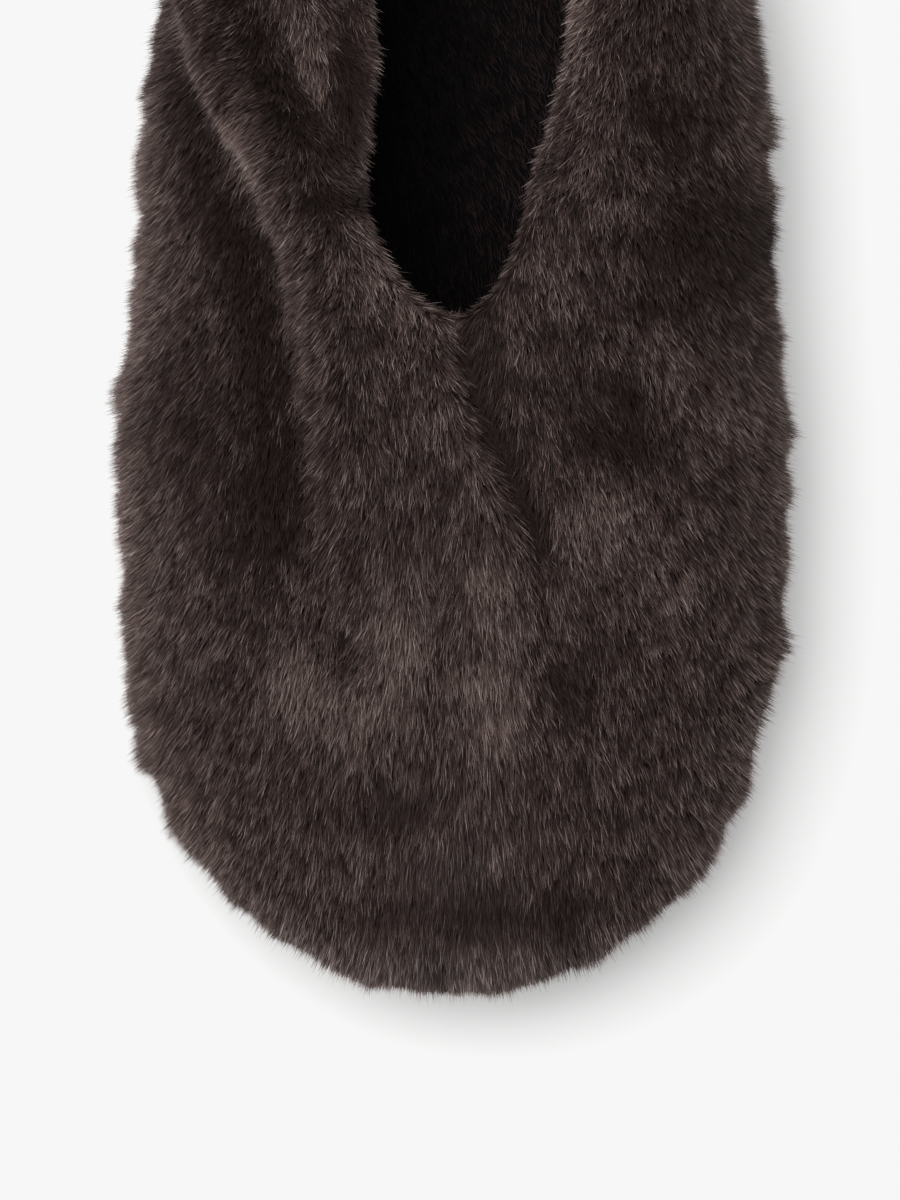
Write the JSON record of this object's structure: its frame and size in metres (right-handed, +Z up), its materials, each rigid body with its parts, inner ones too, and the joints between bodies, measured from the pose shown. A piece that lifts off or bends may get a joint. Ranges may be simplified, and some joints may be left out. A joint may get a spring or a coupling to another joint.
{
  "type": "slipper sock",
  "caption": "Soft slip-on slipper sock for either foot: a deep dark brown fur upper with a narrow oval mouth, a padded insole and a thin soft sole.",
  "frame": {"origin": "on the floor under the middle of the shoe's length and width", "axes": "+Z up; +Y from toe to heel, so the toe points to -Y; +X to the right of a viewer who looks down with the toe towards them"},
  "size_m": [0.12, 0.2625, 0.0636],
  "materials": {
    "fur": "deep dark brown pile, about 7 mm deep, combed towards the toe",
    "sole_cloth": "matt dark brown brushed cloth",
    "lining": "nearly black short plush"
  },
  "bodies": {
    "root": {"upper": "fur", "sole": "sole_cloth", "insole": "lining"}
  },
  "joints": []
}
